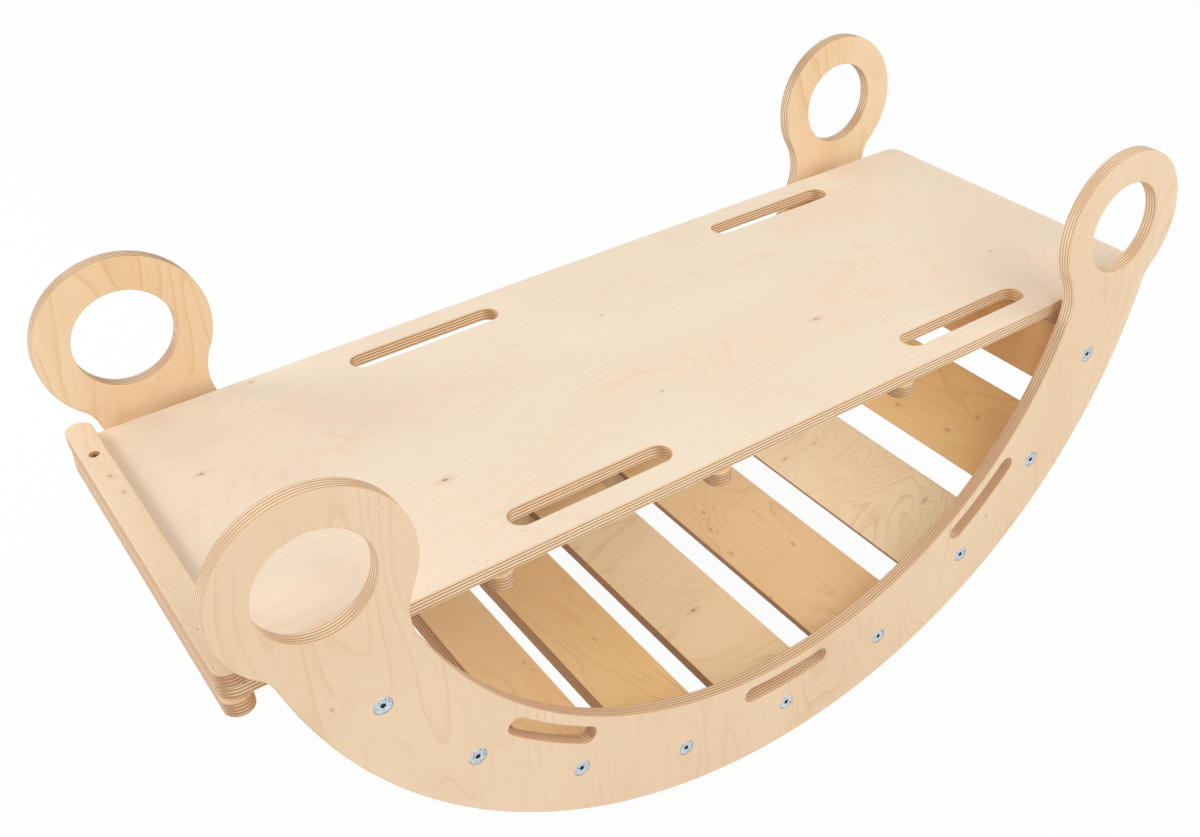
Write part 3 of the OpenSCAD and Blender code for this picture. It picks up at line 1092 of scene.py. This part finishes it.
@dataclass
class Studio:
    """Floor, lamps, world and camera."""

    camera_place: Triple = (-529.7, -817.6, 908.1)
    camera_turn: Triple = (55.635, 1.903, -35.955)
    focal_pixels: float = 1369.9
    principal: Pair = (683.9, 407.4)
    picture: tuple[int, int] = (1200, 837)
    sensor: float = 36.0
    ambient: float = 0.47
    floor_shadow_share: float = 0.05
    floor_side: float = 14.0
    floor_tone: str = "#F4F4F4"
    lamps: tuple[SoftBox, ...] = (
        SoftBox("back_left_softbox", (-1.70, 1.70, 1.19), 1.3, 25.0),
        SoftBox("left_softbox", (-1.84, 0.0, 2.05), 0.6, 9.5),
        SoftBox("front_softbox", (0.0, -2.10, 1.74), 1.3, 18.0),
        SoftBox("high_right_softbox", (1.18, -1.18, 2.21), 1.3, 15.5),
    )

    def build(self) -> None:
        """Set up the whole studio."""
        self._camera()
        self._world()
        self._floor()
        for lamp in self.lamps:
            self._lamp(lamp)
        bpy.context.scene.view_settings.view_transform = "Standard"

    def _camera(self) -> None:
        """Put the camera where the photograph was taken from."""
        data = bpy.data.cameras.new("camera")
        width, height = self.picture
        data.sensor_fit = "HORIZONTAL"
        data.sensor_width = self.sensor
        data.lens = self.focal_pixels / width * self.sensor
        data.shift_x = (width / 2 - self.principal[0]) / width
        data.shift_y = (self.principal[1] - height / 2) / width
        data.clip_start, data.clip_end = 0.05, 50.0
        camera = new_object("camera", data)
        camera.location = Vector(self.camera_place) * MM
        camera.rotation_euler = [math.radians(a) for a in self.camera_turn]
        bpy.context.scene.camera = camera

    def _backdrop_share(self, add: Adder) -> Socket:
        """One for rays that see the background: from the camera, a mirror or glass."""
        path = add("LightPath").node.outputs
        seen = add("Math", LARGER, {0: path["Is Camera Ray"], 1: path["Is Glossy Ray"]})
        return add("Math", LARGER, {0: seen, 1: path["Is Transmission Ray"]})

    def _world(self) -> None:
        """Light the object softly from all round, and show plain white behind it."""
        world = bpy.data.worlds.new("studio")
        bpy.context.scene.world = world
        world.use_nodes = True
        world.node_tree.nodes.clear()
        add = partial(add_node, world.node_tree)
        soft = add("Background", inputs={"Color": (1, 1, 1, 1), "Strength": self.ambient})
        white = add("Background", inputs={"Color": (1, 1, 1, 1), "Strength": 1.0})
        mix = add("MixShader", inputs={0: self._backdrop_share(add), 1: soft, 2: white})
        add("OutputWorld", inputs={"Surface": mix})

    def _floor(self) -> None:
        """A white floor that keeps a faint shadow of the object."""
        bpy.ops.object.select_all(action="DESELECT")
        bpy.ops.mesh.primitive_plane_add(size=self.floor_side)
        floor = bpy.context.object
        floor.name = "floor"
        material, add = new_material("white_floor")
        paper = add("BsdfDiffuse", inputs={"Color": linear(self.floor_tone)})
        glow = add("Emission", inputs={"Color": (1, 1, 1, 1), "Strength": 1.0})
        lit_share = 1 - self.floor_shadow_share
        share = add("Math", MULTIPLY, {0: self._backdrop_share(add), 1: lit_share})
        mix = add("MixShader", inputs={0: share, 1: paper, 2: glow})
        add("OutputMaterial", inputs={"Surface": mix})
        floor.data.materials.append(material)
        floor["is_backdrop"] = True

    def _lamp(self, lamp: SoftBox) -> None:
        """Hang one soft lamp that aims at the middle of the object."""
        data = bpy.data.lights.new(lamp.name, "AREA")
        data.shape = "SQUARE"
        data.size = lamp.size
        data.energy = lamp.power
        light = new_object(lamp.name, data)
        low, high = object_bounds()
        light.location = lamp.place
        aim = (low + high) / 2 - light.location
        light.rotation_euler = aim.to_track_quat("-Z", "Y").to_euler()


def panel_sheets() -> tuple[BirchPlywood, BirchPlywood]:
    """The front panel's sheet, and the back panel's, which is paler and has fewer, bolder lines."""
    front = BirchPlywood(
        "panel_plywood_front", pale="#F1D7B6", warm="#EDD0AC", growth_line="#D8A06A", end_grain="#CBA076",
        rings=20.0, line_strength=0.45, figure=Marking(420.0, 80.0, detail=1.6, swirl=0.3),
        knots=(Knot(272.9, 371.6, 0.8), Knot(128.0, -229.6, 0.9)))
    back = replace(
        front, name="panel_plywood_back", pale="#F9DEBA", warm="#F3D2A6", growth_line="#DDA55C",
        end_grain="#AD8055", rings=15.0, line_strength=0.6, knots=())
    return front, back


def slat_sheet() -> BirchPlywood:
    """The sheet of the slats, whose face tones each slat sets for itself."""
    # The edge tones are darker than the other sheets': painted shade of the narrow gaps between the slats
    return BirchPlywood(
        "slat_plywood", growth_line="#D69C5E", fleck="#A06A3A", side_grain="#D8AE84", end_grain="#A87850",
        figure=Marking(280.0, 75.0, detail=1.6, swirl=0.3))


def slat_boards() -> tuple[SlatBoard, ...]:
    """The nine slats, from left to right."""
    amber = SlatBoard("#FFDFA2", "#FAD092")
    return (
        amber,
        amber,
        SlatBoard("#FFE1AC", "#FBD49E", knots=(Knot(-53.6, -27.0, 1.0), Knot(-64.1, -29.7, 0.9))),
        SlatBoard("#FADAA2", "#F5CC90", slant=3.0, knots=(Knot(-37.5, 24.4, 0.6), Knot(-40.0, -3.1, 1.0))),
        SlatBoard("#FAE4BE", "#F5DAB0", Grain.ALONG_X, slant=5.0, rings=11.0, knots=(
            Knot(-3.4, -51.5, 2.0),)),
        SlatBoard("#F5DBAE", "#F3D1A0", slant=-5.0, rings=16.0, knots=(
            Knot(45.2, 20.9, 1.1), Knot(21.8, 28.1, 1.2), Knot(-18.8, 30.1, 1.0), Knot(-51.6, -20.1, 1.1),
            Knot(-88.6, 32.0, 1.0))),
        SlatBoard("#FFF1D2", "#FFE9C4", Grain.ALONG_X, slant=-2.0, rings=34.0, knots=(
            Knot(-26.1, 29.3, 1.2), Knot(4.6, 15.8, 1.0), Knot(25.5, -124.4, 1.4))),
        replace(amber, slant=3.0, knots=(
            Knot(-35.5, 23.9, 1.3), Knot(-120.1, -1.3, 1.1), Knot(-98.5, 22.4, 1.1))),
        SlatBoard("#FACE96", "#F0C084"),
    )


def board_sheet() -> BirchPlywood:
    """The sheet of the climbing board, with faint lines close together."""
    return BirchPlywood(
        "board_plywood", pale="#F2E0C8", warm="#F0DBC2", growth_line="#DFB27C", rings=32.0,
        line_strength=0.32, figure=Marking(320.0, 110.0, detail=1.6, swirl=0.4), knots=(
            Knot(137.4, -56.1, 2.0), Knot(-220.4, -60.3, 2.4), Knot(-360.1, 59.9, 1.8),
            Knot(-283.5, 157.3, 1.1), Knot(-29.3, -64.1, 0.9), Knot(341.0, -64.4, 0.9),
            Knot(-1.4, 65.7, 0.9)))


def bar_sheet() -> BirchPlywood:
    """The sheet of the batten and the rungs."""
    return BirchPlywood(
        "rung_plywood", pale="#EDD6B7", warm="#E8CBA8", growth_line="#DCA470", side_grain="#DEC4AA",
        line_strength=0.55, knots=(Knot(82.0, -1.2, 1.4), Knot(56.0, -3.0, 1.2)))


def main() -> None:
    """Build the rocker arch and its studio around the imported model."""
    logging.basicConfig(level=logging.INFO, format="%(message)s")
    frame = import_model()
    Studio().build()
    rocker, deck = RockerSizes(), DeckSizes()
    SidePanels(rocker, *panel_sheets()).build()
    Slats(rocker, slat_sheet(), slat_boards()).build()
    ClimbingBoard(board_sheet()).build()
    # The bored walls' orange brown is painted shade of the screw holes
    CrossBars(deck, bar_sheet(), BoredBirch("bored_birch_painted_shade")).build()
    Fixings(rocker, deck).build(frame["nodes"])


if __name__ == "__main__":
    main()
